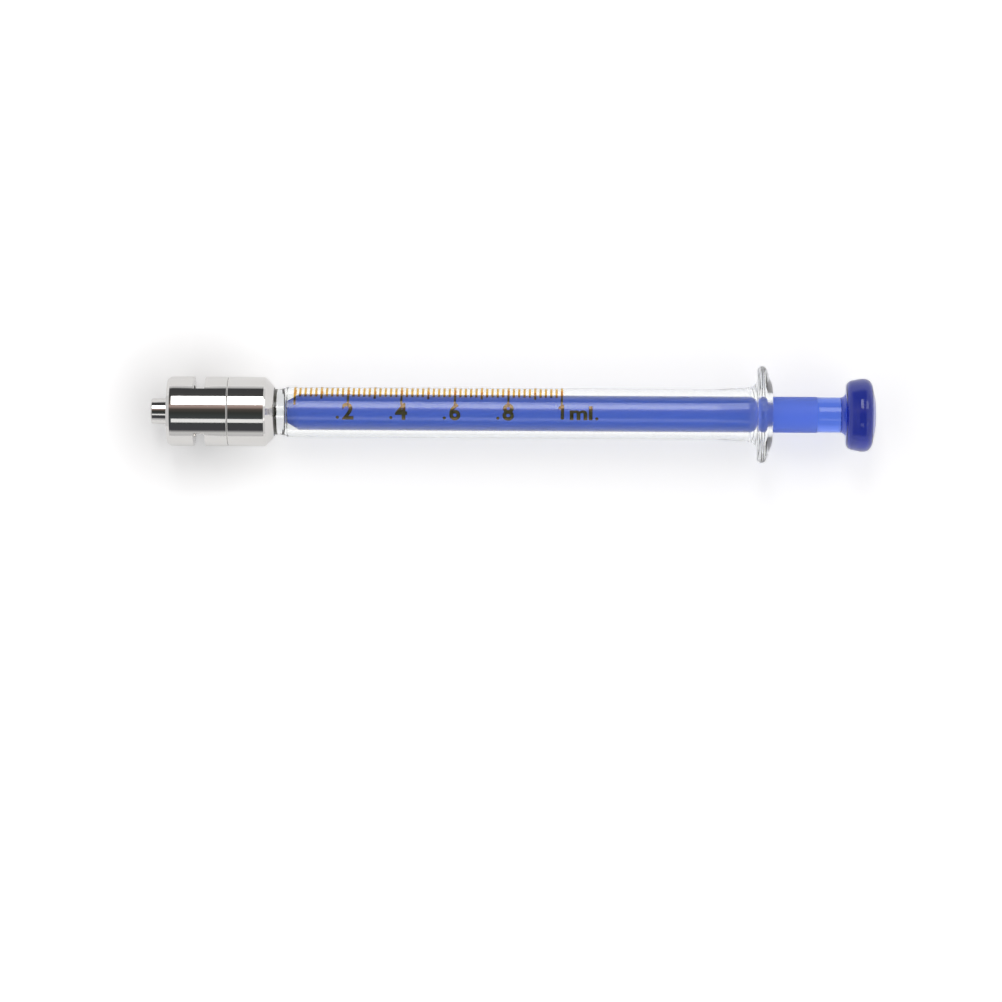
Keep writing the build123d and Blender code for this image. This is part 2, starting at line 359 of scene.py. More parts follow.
def rounded(corners, closed=True):
    """Points of an outline of (x, radius, rounding) corners, with each rounding as an arc."""
    count = len(corners)
    points = []
    taken = [0.0] * count
    for index, (x, r, rounding) in enumerate(corners):
        here = Vector((x, r))
        at_end = not closed and index in (0, count - 1)
        if rounding == 0 or at_end:
            points.append(here)
            continue
        before = Vector(corners[index - 1][:2]) - here
        after = Vector(corners[(index + 1) % count][:2]) - here
        opening = before.angle(after)
        reach = rounding / math.tan(opening / 2)
        taken[index - 1] += reach
        taken[index] += reach
        if taken[index - 1] > before.length or taken[index] > after.length:
            raise ValueError(f"the corner at {x:.5f}, {r:.5f} has no room for its rounding")
        middle = (before.normalized() + after.normalized()).normalized()
        centre = here + middle * rounding / math.sin(opening / 2)
        first = here + before.normalized() * reach - centre
        sweep = math.pi - opening
        turn = 1 if before.x * after.y - before.y * after.x < 0 else -1
        steps = max(2, math.ceil(sweep / ARC_STEP))
        for step in range(steps + 1):
            a = turn * sweep * step / steps
            points.append(centre + Matrix.Rotation(a, 2) @ first)
    return supported(points, closed)


def turned(name, points, closed=True, segments=TURN_SEGMENTS):
    """A mesh object turned about the X axis from an outline of (x, radius) points."""
    mesh = bpy.data.meshes.new(name)
    shape = bmesh.new()
    rings = []
    for x, r in points:
        if r < ON_AXIS:
            rings.append([shape.verts.new((x, 0, 0))])
            continue
        ring = []
        for step in range(segments):
            a = math.tau * step / segments
            ring.append(shape.verts.new((x, r * math.sin(a), r * math.cos(a))))
        rings.append(ring)
    pairs = list(zip(rings, rings[1:]))
    if closed:
        pairs.append((rings[-1], rings[0]))
    for one, other in pairs:
        for step in range(segments):
            after = (step + 1) % segments
            corners = [one[step % len(one)], one[after % len(one)]]
            corners += [other[after % len(other)], other[step % len(other)]]
            unique = list(dict.fromkeys(corners))
            if len(unique) > 2:
                shape.faces.new(unique)
    bmesh.ops.recalc_face_normals(shape, faces=shape.faces)
    shape.to_mesh(mesh)
    shape.free()
    smooth(mesh)
    return show(name, mesh)


def smooth(mesh):
    """Shade a mesh smooth, with its real corners kept sharp."""
    mesh.polygons.foreach_set("use_smooth", [True] * len(mesh.polygons))
    mesh.set_sharp_from_angle(angle=SHARP_ANGLE)


def show(name, mesh):
    """Put a mesh into the scene as an object at the origin."""
    piece = bpy.data.objects.new(name, mesh)
    bpy.context.scene.collection.objects.link(piece)
    return piece


def baked(piece, name):
    """A plain mesh object of what a piece's modifiers make; the piece itself is removed."""
    graph = bpy.context.evaluated_depsgraph_get()
    mesh = bpy.data.meshes.new_from_object(piece.evaluated_get(graph), depsgraph=graph)
    bpy.data.objects.remove(piece)
    mesh.name = name
    return show(name, mesh)


def paint(piece, materials, choose=None):
    """Give a piece its materials; choose names the slot of a face from its centre."""
    piece.data.materials.clear()
    for material in materials:
        piece.data.materials.append(material)
    if choose:
        for face in piece.data.polygons:
            face.material_index = choose(face.center)


def off_axis(point):
    """Distance of a point from the syringe's axis."""
    return math.hypot(point.y, point.z)


def settle(piece, body, slot, *nodes):
    """Let a finished piece ride on its body and stand for its CAD nodes; the slot is not used."""
    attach(piece, body)
    if nodes:
        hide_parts(*nodes)


# Node helpers -----------------------------------------------------------------------------------

def add(tree, kind, inputs=None, **attributes):
    """Add a node; inputs maps socket names or numbers to values or to sockets to link."""
    made = tree.nodes.new(kind)
    for key, value in attributes.items():
        setattr(made, key, value)
    for key, value in (inputs or {}).items():
        if isinstance(value, NodeSocket):
            tree.links.new(value, made.inputs[key])
        else:
            made.inputs[key].default_value = value
    return made


def math_node(tree, operation, *values):
    """A Math node's result."""
    return add(tree, "ShaderNodeMath", dict(enumerate(values)), operation=operation).outputs[0]


def object_place(tree):
    """The shaded point's Object coordinates."""
    return add(tree, "ShaderNodeTexCoord").outputs["Object"]


def object_noise(tree, scale, stretch=(1, 1, 1), detail=3.0):
    """Noise on Object coordinates, stretched by a factor along each axis."""
    mapped = add(tree, "ShaderNodeMapping", {"Vector": object_place(tree), "Scale": stretch})
    noise = add(
        tree,
        "ShaderNodeTexNoise",
        {"Vector": mapped.outputs[0], "Scale": scale, "Detail": detail},
    )
    return noise.outputs[0]


def spread(tree, value, low, high):
    """Map a 0 to 1 value to a range."""
    return add(
        tree, "ShaderNodeMapRange", {"Value": value, "To Min": low, "To Max": high}
    ).outputs[0]


def blend_values(tree, factor, one, other):
    """Go from one value to the other as the factor goes from 0 to 1."""
    return add(tree, "ShaderNodeMix", {0: factor, 2: one, 3: other}, data_type="FLOAT").outputs[0]


def bump(tree, height, strength=1.0, distance=1.0):
    """A bump normal from a height, in metres unless a distance is given."""
    return add(
        tree,
        "ShaderNodeBump",
        {"Height": height, "Strength": strength, "Distance": distance},
    ).outputs[0]


def principled(name, **sockets):
    """A material with one Principled shader and the given socket values."""
    material = bpy.data.materials.new(name)
    material.use_nodes = True
    shader = material.node_tree.nodes["Principled BSDF"]
    for key, value in sockets.items():
        shader.inputs[key.replace("_", " ")].default_value = value
    return material, material.node_tree, shader


# Finishes ---------------------------------------------------------------------------------------

def clear_glass(finish):
    """Drawn borosilicate: faint lengthwise waves in a polished surface."""
    material, tree, shader = principled(
        "drawn_clear_glass",
        Base_Color=(*finish.glass_tint, 1),
        Roughness=0.0,
        IOR=finish.glass_ior,
        Transmission_Weight=1.0,
    )
    waves = object_noise(tree, scale=300, stretch=(0.04, 1, 1), detail=0.0)
    height = math_node(tree, "MULTIPLY", waves, finish.glass_waves)
    tree.links.new(bump(tree, height), shader.inputs["Normal"])
    return material


def ground_bore(finish):
    """The inside of the barrel, lapped to a fine satin."""
    material, tree, shader = principled(
        "lapped_bore_glass",
        Base_Color=(*finish.glass_tint, 1),
        IOR=finish.glass_ior,
        Transmission_Weight=1.0,
    )
    grain = object_noise(tree, scale=2600, stretch=(0.35, 1, 1))
    swing = finish.bore_roughness * finish.bore_spread
    rough = spread(tree, grain, finish.bore_roughness - swing, finish.bore_roughness + swing)
    tree.links.new(rough, shader.inputs["Roughness"])
    return material


def cobalt_glass(finish, ground_end, knob_start):
    """Blue glass: a milky ground piston with fine marks round it, then a flame-polished end."""
    material, tree, shader = principled("cobalt_glass", IOR=finish.glass_ior)
    along = add(tree, "ShaderNodeSeparateXYZ", {0: object_place(tree)}).outputs[0]
    polish = add(
        tree,
        "ShaderNodeMapRange",
        {"Value": along, "From Min": ground_end, "From Max": ground_end + finish.polish_fade},
    ).outputs[0]
    grain = object_noise(tree, scale=3000, stretch=(2.2, 1, 1), detail=4.0)
    waves = object_noise(tree, scale=260, detail=0.0)
    smoothest = finish.ground_roughness - finish.ground_spread
    matte = spread(tree, grain, smoothest, finish.ground_roughness + finish.ground_spread)
    rough = blend_values(tree, polish, matte, finish.polished_roughness)
    tree.links.new(rough, shader.inputs["Roughness"])
    clear = blend_values(tree, polish, finish.ground_clarity, 1.0)
    tree.links.new(clear, shader.inputs["Transmission Weight"])
    knob = add(
        tree,
        "ShaderNodeMapRange",
        {"Value": along, "From Min": knob_start, "From Max": knob_start + finish.knob_fade},
    ).outputs[0]
    bright = add(
        tree,
        "ShaderNodeMix",
        {0: knob, 6: (*finish.polished_tint, 1), 7: (*finish.knob_tint, 1)},
        data_type="RGBA",
    ).outputs[2]
    colour = add(
        tree,
        "ShaderNodeMix",
        {0: polish, 6: (*finish.ground_tint, 1), 7: bright},
        data_type="RGBA",
    ).outputs[2]
    tree.links.new(colour, shader.inputs["Base Color"])
    marks = math_node(tree, "MULTIPLY", grain, finish.ground_marks)
    ripples = math_node(tree, "MULTIPLY", waves, finish.polished_ripples)
    height = blend_values(tree, polish, marks, ripples)
    tree.links.new(bump(tree, height), shader.inputs["Normal"])
    depth = add(
        tree,
        "ShaderNodeVolumeAbsorption",
        {"Color": (*finish.blue_depth, 1), "Density": finish.blue_density},
    )
    tree.links.new(depth.outputs[0], tree.nodes["Material Output"].inputs["Volume"])
    return material


def chrome_plate(finish):
    """Bright plate over turned brass: fine tool lines round the axis and a few hazy spots."""
    material, tree, shader = principled(
        "bright_chrome_plate", Base_Color=(*finish.chrome, 1), Metallic=1.0
    )
    lines = object_noise(tree, scale=5200, stretch=(1, 0.02, 0.02), detail=2.0)
    haze = object_noise(tree, scale=700)
    rough = spread(tree, haze, finish.chrome_bright, finish.chrome_hazy)
    tree.links.new(rough, shader.inputs["Roughness"])
    scored = bump(tree, lines, strength=0.10, distance=0.000004)
    tree.links.new(scored, shader.inputs["Normal"])
    return material


def fired_stain(finish):
    """Amber stain: a thin clear colour filter, slightly uneven."""
    material, tree, shader = principled(
        "fired_amber_stain", IOR=1.45, Transmission_Weight=1.0, Roughness=0.1
    )
    patches = object_noise(tree, scale=2500)
    ramp = add(tree, "ShaderNodeValToRGB", {"Fac": patches})
    deep = [channel * finish.stain_deep for channel in finish.stain]
    ramp.color_ramp.elements[0].position = 0.3
    ramp.color_ramp.elements[0].color = (*deep, 1)
    ramp.color_ramp.elements[1].position = 0.7
    ramp.color_ramp.elements[1].color = (*finish.stain, 1)
    tree.links.new(ramp.outputs[0], shader.inputs["Base Color"])
    return material


def soft_seal(finish):
    """Translucent white silicone with a dusty skin."""
    material, tree, shader = principled(
        "white_silicone", Base_Color=(*finish.seal, 1), Subsurface_Weight=0.3
    )
    dust = object_noise(tree, scale=1800)
    tree.links.new(spread(tree, dust, low=0.4, high=0.6), shader.inputs["Roughness"])
    skin = bump(tree, dust, strength=0.2, distance=0.00002)
    tree.links.new(skin, shader.inputs["Normal"])
    return material


def bond_cement(finish):
    """Pale bonding cement with a fine grain."""
    material, tree, shader = principled(
        "pale_cement", Base_Color=(*finish.cement, 1), Roughness=0.85
    )
    grain = object_noise(tree, scale=4000, detail=5.0)
    gritty = bump(tree, grain, strength=0.5, distance=0.00003)
    tree.links.new(gritty, shader.inputs["Normal"])
    return material


def lit_table(glow, dim, hub_x, reach):
    """Matte white table, faintly lit from within; its glow is dimmed round the metal hub as a painted
    shadow.
    """
    material, tree, shader = principled(
        "white_table_painted_hub_shadow", Roughness=0.9, Emission_Color=(1, 1, 1, 1)
    )
    scale = (1 / reach, 1 / reach, 1 / reach)
    where = add(
        tree,
        "ShaderNodeMapping",
        {"Vector": object_place(tree), "Location": (-hub_x / reach, 0, 0), "Scale": scale},
    )
    # Painted shadow: the glow falls to its dimmed share towards the hub's middle.
    near = add(tree, "ShaderNodeTexGradient", {0: where.outputs[0]})
    near.gradient_type = "SPHERICAL"
    level = spread(tree, near.outputs["Fac"], glow, glow * dim)
    tree.links.new(level, shader.inputs["Emission Strength"])
    return material


# Geometry node trees ----------------------------------------------------------------------------

def geometry_tree(name, inputs):
    """An empty geometry tree with named inputs of (socket type, name)."""
    tree = bpy.data.node_groups.new(name, "GeometryNodeTree")
    interface = tree.interface
    interface.new_socket("Geometry", in_out="OUTPUT", socket_type="NodeSocketGeometry")
    interface.new_socket("Geometry", in_out="INPUT", socket_type="NodeSocketGeometry")
    for kind, label in inputs:
        interface.new_socket(label, in_out="INPUT", socket_type=kind)
    return tree, add(tree, "NodeGroupInput").outputs


def close_tree(tree, geometry, material):
    """End a tree with Realize Instances and Set Material."""
    real = add(tree, "GeometryNodeRealizeInstances", {"Geometry": geometry})
    coated = add(
        tree, "GeometryNodeSetMaterial", {"Geometry": real.outputs[0], "Material": material}
    )
    add(tree, "NodeGroupOutput", {"Geometry": coated.outputs[0]})


def grown(name, tree, values, start=None):
    """The plain mesh piece that a geometry tree makes with these named input values."""
    piece = start or show(name + "_seed", bpy.data.meshes.new(name + "_seed"))
    modifier = piece.modifiers.new("shape", "NODES")
    modifier.node_group = tree
    sockets = {s.name: s.identifier for s in tree.interface.items_tree if s.in_out == "INPUT"}
    for key, value in values.items():
        modifier[sockets[key]] = value
    return baked(piece, name)


def wrapped(tree, geometry, tube_radius):
    """Bend flat geometry round the tube: y becomes the arc from the top, z the height above it."""
    place = add(tree, "GeometryNodeInputPosition").outputs[0]
    flat = add(tree, "ShaderNodeSeparateXYZ", {0: place}).outputs
    angle = math_node(tree, "DIVIDE", flat[1], tube_radius)
    reach = math_node(tree, "ADD", flat[2], tube_radius)
    across = math_node(tree, "MULTIPLY", reach, math_node(tree, "SINE", angle))
    up = math_node(tree, "MULTIPLY", reach, math_node(tree, "COSINE", angle))
    bent = add(tree, "ShaderNodeCombineXYZ", {0: flat[0], 1: across, 2: up}).outputs[0]
    return add(
        tree, "GeometryNodeSetPosition", {"Geometry": geometry, "Position": bent}
    ).outputs[0]


def by_rank(tree, fifth, tenth, short, middle, long):
    """Choose a line's value: short, middle on every fifth line, long on every tenth."""
    inner = add(tree, "GeometryNodeSwitch", {0: fifth, 1: short, 2: middle}, input_type="FLOAT")
    outer = add(
        tree, "GeometryNodeSwitch", {0: tenth, 1: inner.outputs[0], 2: long}, input_type="FLOAT"
    )
    return outer.outputs[0]


def scale_tree():
    """Scale lines: small boxes along the tube, of three lengths, bent round the glass."""
    floats = ["Zero", "Pitch", "Tube Radius", "Line Width", "Film", "Film Gap"]
    floats += ["Short From", "Short To", "Middle From", "Middle To", "Long From", "Long To"]
    named = [("NodeSocketFloat", label) for label in floats]
    named += [("NodeSocketInt", "Lines"), ("NodeSocketMaterial", "Stain")]
    tree, given = geometry_tree("scale_lines", named)
    start = add(tree, "ShaderNodeCombineXYZ", {0: given["Zero"]}).outputs[0]
    step = add(tree, "ShaderNodeCombineXYZ", {0: given["Pitch"]}).outputs[0]
    line = add(
        tree,
        "GeometryNodeMeshLine",
        {"Count": given["Lines"], "Start Location": start, "Offset": step},
    ).outputs[0]
    index = add(tree, "GeometryNodeInputIndex").outputs[0]
    fifth = math_node(tree, "LESS_THAN", math_node(tree, "MODULO", index, 5), 0.5)
    tenth = math_node(tree, "LESS_THAN", math_node(tree, "MODULO", index, 10), 0.5)
    upper = by_rank(
        tree, fifth, tenth, given["Short From"], given["Middle From"], given["Long From"]
    )
    lower = by_rank(tree, fifth, tenth, given["Short To"], given["Middle To"], given["Long To"])
    middle = math_node(tree, "MULTIPLY", math_node(tree, "ADD", upper, lower), 0.5)
    arc = math_node(tree, "MULTIPLY", middle, given["Tube Radius"])
    span = math_node(
        tree, "MULTIPLY", math_node(tree, "SUBTRACT", upper, lower), given["Tube Radius"]
    )
    lift = math_node(
        tree, "ADD", given["Film Gap"], math_node(tree, "MULTIPLY", given["Film"], 0.5)
    )
    shift = add(tree, "ShaderNodeCombineXYZ", {1: arc, 2: lift}).outputs[0]
    points = add(tree, "GeometryNodeSetPosition", {"Geometry": line, "Offset": shift})
    box = add(
        tree,
        "GeometryNodeMeshCube",
        {"Size": (1, 1, 1), "Vertices X": 2, "Vertices Y": 26, "Vertices Z": 2},
    )
    size = add(
        tree, "ShaderNodeCombineXYZ", {0: given["Line Width"], 1: span, 2: given["Film"]}
    ).outputs[0]
    placed = add(
        tree,
        "GeometryNodeInstanceOnPoints",
        {"Points": points.outputs[0], "Instance": box.outputs[0], "Scale": size},
    )
    flat = add(tree, "GeometryNodeRealizeInstances", {"Geometry": placed.outputs[0]})
    close_tree(tree, wrapped(tree, flat.outputs[0], given["Tube Radius"]), given["Stain"])
    return tree


def wrap_tree():
    """Flat lettering, cut finely and bent round the glass."""
    named = [("NodeSocketFloat", "Tube Radius"), ("NodeSocketMaterial", "Stain")]
    tree, given = geometry_tree("wrapped_lettering", named)
    fine = add(tree, "GeometryNodeSubdivideMesh", {"Mesh": given["Geometry"], "Level": 3})
    close_tree(tree, wrapped(tree, fine.outputs[0], given["Tube Radius"]), given["Stain"])
    return tree


def thread_tree():
    """Lock thread: a tapered section swept along helices round the syringe's axis."""
    floats = ["Lead", "Length", "Start", "Crest Radius", "Root Radius", "Crest Width", "Root Width"]
    named = [("NodeSocketFloat", label) for label in floats]
    named += [("NodeSocketInt", "Starts"), ("NodeSocketMaterial", "Plate")]
    tree, given = geometry_tree("lock_thread", named)
    turns = math_node(tree, "DIVIDE", given["Length"], given["Lead"])
    helix = add(
        tree,
        "GeometryNodeCurveSpiral",
        {
            "Resolution": 180,
            "Rotations": turns,
            "Start Radius": given["Crest Radius"],
            "End Radius": given["Crest Radius"],
            "Height": given["Length"],
        },
    )
    depth = math_node(tree, "SUBTRACT", given["Root Radius"], given["Crest Radius"])
    crest = math_node(tree, "MULTIPLY", given["Crest Width"], 0.5)
    root = math_node(tree, "MULTIPLY", given["Root Width"], 0.5)
    corners = []
    for height, half, side in ((0, crest, -1), (depth, root, -1), (depth, root, 1), (0, crest, 1)):
        corners.append(
            add(
                tree,
                "ShaderNodeCombineXYZ",
                {0: height, 1: math_node(tree, "MULTIPLY", half, side)},
            ).outputs[0]
        )
    section = add(
        tree,
        "GeometryNodeCurvePrimitiveQuadrilateral",
        {7 + number: corner for number, corner in enumerate(corners)},
        mode="POINTS",
    )
    ridge = add(
        tree,
        "GeometryNodeCurveToMesh",
        {"Curve": helix.outputs[0], "Profile Curve": section.outputs[0], "Fill Caps": True},
    )
    line = add(
        tree, "GeometryNodeMeshLine", {"Count": given["Starts"], "Offset": (0, 0, 0)}
    ).outputs[0]
    index = add(tree, "GeometryNodeInputIndex").outputs[0]
    share = math_node(tree, "DIVIDE", index, given["Starts"])
    about = add(
        tree, "ShaderNodeCombineXYZ", {2: math_node(tree, "MULTIPLY", share, math.tau)}
    ).outputs[0]
    placed = add(
        tree,
        "GeometryNodeInstanceOnPoints",
        {"Points": line, "Instance": ridge.outputs[0], "Rotation": about},
    )
    along = add(tree, "ShaderNodeCombineXYZ", {0: given["Start"]}).outputs[0]
    laid = add(
        tree,
        "GeometryNodeTransform",
        {"Geometry": placed.outputs[0], "Translation": along, "Rotation": (0, math.pi / 2, 0)},
    )
    close_tree(tree, laid.outputs[0], given["Plate"])
    return tree


# Operators --------------------------------------------------------------------------------------

class SYRINGE_OT_barrel(Operator):
    """Turn the glass barrel with its stem, neck, bore and flame-formed flange"""

    bl_idname = "syringe.barrel"
    bl_label = "Glass Barrel"

    def execute(self, context):
        s = context.scene.syringe_barrel
        finish = context.scene.syringe_finish
        first = front("glass_barrel")
        last = rear("glass_barrel")
        rim = radius("glass_barrel")
        bore_end = front("plunger") - s.end_gap
        outline = rounded(
            [
                (first, s.channel_radius, s.channel_edge),
                (first, s.stem_radius, s.stem_edge),
                (s.neck_start, s.stem_radius, SOFT_EDGE),
                (s.neck_start, s.neck_radius, SOFT_EDGE),
                (s.waist, s.waist_radius, s.waist_blend),
                (s.neck_end, s.neck_radius, s.neck_blend),
                (s.tube_start, s.tube_radius, s.tube_blend),
                (s.flare_start, s.tube_radius, s.flare_blend),
                (s.flange_front, s.flare_radius, s.flange_root),
                (s.flange_front, rim, s.rim_edge),
                (s.flange_rim, rim, s.rim_edge),
                (last, s.flange_flat, s.rear_edge),
                (last, s.bore_radius, s.mouth_edge),
                (bore_end, s.bore_radius, s.bore_end_edge),
                (bore_end, s.channel_radius, SOFT_EDGE),
            ]
        )
        piece = turned("glass_barrel_clear", outline)

        def zone(point):
            on_wall = off_axis(point) < s.bore_radius + WALL_TOLERANCE
            between = bore_end + s.bore_end_edge < point.x < last - s.lap_inset
            return 1 if on_wall and between else 0

        paint(piece, [clear_glass(finish), ground_bore(finish)], zone)
        settle(piece, BARREL_BODY, "clear_glass", "glass_barrel")
        return {"FINISHED"}


class SYRINGE_OT_plunger(Operator):
    """Turn the ground piston, its polished neck and the thumb knob from one piece of blue glass"""

    bl_idname = "syringe.plunger"
    bl_label = "Plunger"

    def execute(self, context):
        s = context.scene.syringe_plunger
        finish = context.scene.syringe_finish
        first = front("plunger")
        last = rear("plunger")
        outline = rounded(
            [
                (first, 0, 0),
                (first, s.tip_radius, s.tip_edge),
                (s.cone_end, s.piston_radius, s.ground_blend),
                (s.ground_end, s.piston_radius, s.ground_blend),
                (s.neck_start, s.neck_radius, s.ground_blend),
                (s.neck_end, s.neck_radius, s.knob_root_blend),
                (s.knob_front, s.knob_root, 0),
                (s.knob_front, s.knob_face, s.knob_front_edge),
                (s.crown, s.crown_radius, s.crown_edge),
                (s.knob_rear, s.knob_rim, s.knob_rear_edge),
                (last, s.thumb_radius, s.thumb_blend),
                (last, 0, 0),
            ],
            closed=False,
        )
        piece = turned("plunger_blue", outline, closed=False)
        paint(piece, [cobalt_glass(finish, s.ground_end, s.knob_front)])
        settle(piece, PISTON_BODY, "blue_glass", "plunger")
        return {"FINISHED"}


class SYRINGE_OT_collar(Operator):
    """Turn the lock collar, mill its two cross slots and cut the lock thread inside it"""

    bl_idname = "syringe.collar"
    bl_label = "Lock Collar"

    def slot_tool(self, s, outer):
        """Two blocks that stand where the slots are milled."""
        tool = bmesh.new()
        reach = outer + CUT_OVERRUN
        for side in (-1, 1):
            made = bmesh.ops.create_cube(tool, size=1)["verts"]
            size = Vector((s.slot_width, reach - s.slot_floor, 3 * outer))
            middle = Vector(
                (s.slot_front + s.slot_width / 2, side * (reach + s.slot_floor) / 2, 0)
            )
            bmesh.ops.scale(tool, vec=size, verts=made)
            bmesh.ops.translate(tool, vec=middle, verts=made)
        mesh = bpy.data.meshes.new("slot_tool")
        tool.to_mesh(mesh)
        tool.free()
        return show("slot_tool", mesh)

    def execute(self, context):
        s = context.scene.syringe_hub
        plate = chrome_plate(context.scene.syringe_finish)
        outer = radius("lock_collar")
        first = front("lock_collar")
        last = rear("lock_collar")
        outline = rounded(
            [
                (first, s.cavity_radius, s.mouth_edge),
                (first, s.face_radius, s.face_edge),
                (s.chamfer_end, outer - s.lead_depth, s.chamfer_edge),
                (s.chamfer_end + s.lead_length, outer, 0),
                (last, outer, s.joint_groove),
                (last, s.spigot_radius, TOOL_EDGE),
                (s.base_front, s.spigot_radius, TOOL_EDGE),
                (s.base_front, s.shank_radius, TOOL_EDGE),
                (s.web_front, s.shank_radius, SOFT_EDGE),
                (s.web_front, s.cavity_radius, s.cavity_edge),
            ]
        )
        blank = turned("collar_blank", outline)
        tool = self.slot_tool(s, outer)
        cut = blank.modifiers.new("slots", "BOOLEAN")
        cut.operation = "DIFFERENCE"
        cut.solver = "EXACT"
        cut.object = tool
        edge = blank.modifiers.new("edges", "BEVEL")
        edge.width = TOOL_EDGE
        edge.segments = 2
        edge.angle_limit = math.radians(50)
        piece = baked(blank, "lock_collar_plated")
        bpy.data.objects.remove(tool)
        smooth(piece.data)
        paint(piece, [plate])
        settle(piece, BARREL_BODY, "chrome_plate", "lock_collar")
        thread = grown(
            "lock_collar_thread",
            thread_tree(),
            {
                "Lead": s.thread_lead,
                "Length": s.thread_length,
                "Start": s.thread_start,
                "Crest Radius": s.thread_crest,
                "Root Radius": s.cavity_radius + s.root_sink,
                "Crest Width": s.crest_width,
                "Root Width": s.root_width,
                "Starts": s.thread_starts,
                "Plate": plate,
            },
        )
        smooth(thread.data)
        settle(thread, BARREL_BODY, "chrome_plate")
        return {"FINISHED"}


class SYRINGE_OT_nozzle(Operator):
    """Turn the male cone with its flow channel and clamped base"""

    bl_idname = "syringe.nozzle"
    bl_label = "Luer Nozzle"

    def execute(self, context):
        s = context.scene.syringe_hub
        channel = context.scene.syringe_barrel.channel_radius
        first = front("luer_nozzle")
        last = rear("luer_nozzle")
        base = radius("luer_nozzle")
        cone_end_radius = s.cone_radius + s.cone_taper / 2 * s.cone_end
        outline = rounded(
            [
                (first, channel, s.channel_edge),
                (first, s.cone_radius, s.cone_edge),
                (s.cone_end, cone_end_radius, 0),
                (s.cone_end, s.shank_radius, 0),
                (s.base_front, s.shank_radius, 0),
                (s.base_front, base, SOFT_EDGE),
                (last, base, SOFT_EDGE),
                (last, channel, 0),
            ]
        )
        piece = turned("luer_nozzle_plated", outline)
        paint(piece, [chrome_plate(context.scene.syringe_finish)])
        settle(piece, BARREL_BODY, "chrome_plate", "luer_nozzle")
        return {"FINISHED"}


class SYRINGE_OT_ferrule(Operator):
    """Turn the rear half of the hub, which closes on the glass neck"""

    bl_idname = "syringe.ferrule"
    bl_label = "Tip Ferrule"

    def execute(self, context):
        s = context.scene.syringe_hub
        outer = radius("tip_ferrule")
        first = front("tip_ferrule")
        last = rear("tip_ferrule")
        joint = rear("lock_collar")
        outline = rounded(
            [
                (first, s.stem_bore, SOFT_EDGE),
                (first, s.spigot_radius, SOFT_EDGE),
                (joint, s.spigot_radius, 0),
                (joint, outer, s.joint_groove),
                (s.rear_chamfer, outer, SOFT_EDGE),
                (s.shoulder, s.shoulder_radius, SOFT_EDGE),
                (last, s.ferrule_end_radius, s.ferrule_edge),
                (last, s.neck_bore, s.lip_edge),
                (s.ferrule_step, s.neck_bore, 0),
                (s.ferrule_step, s.stem_bore, 0),
            ]
        )
        piece = turned("tip_ferrule_plated", outline)
        paint(piece, [chrome_plate(context.scene.syringe_finish)])
        settle(piece, BARREL_BODY, "chrome_plate", "tip_ferrule")
        return {"FINISHED"}


class SYRINGE_OT_seals(Operator):
    """Finish the soft washer and the cement ring, whose CAD shapes stay"""

    bl_idname = "syringe.seals"
    bl_label = "Washer and Cement"

    def execute(self, context):
        finish = context.scene.syringe_finish
        paint(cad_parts["tip_washer"], [soft_seal(finish)])
        paint(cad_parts["cement_ring"], [bond_cement(finish)])
        return {"FINISHED"}


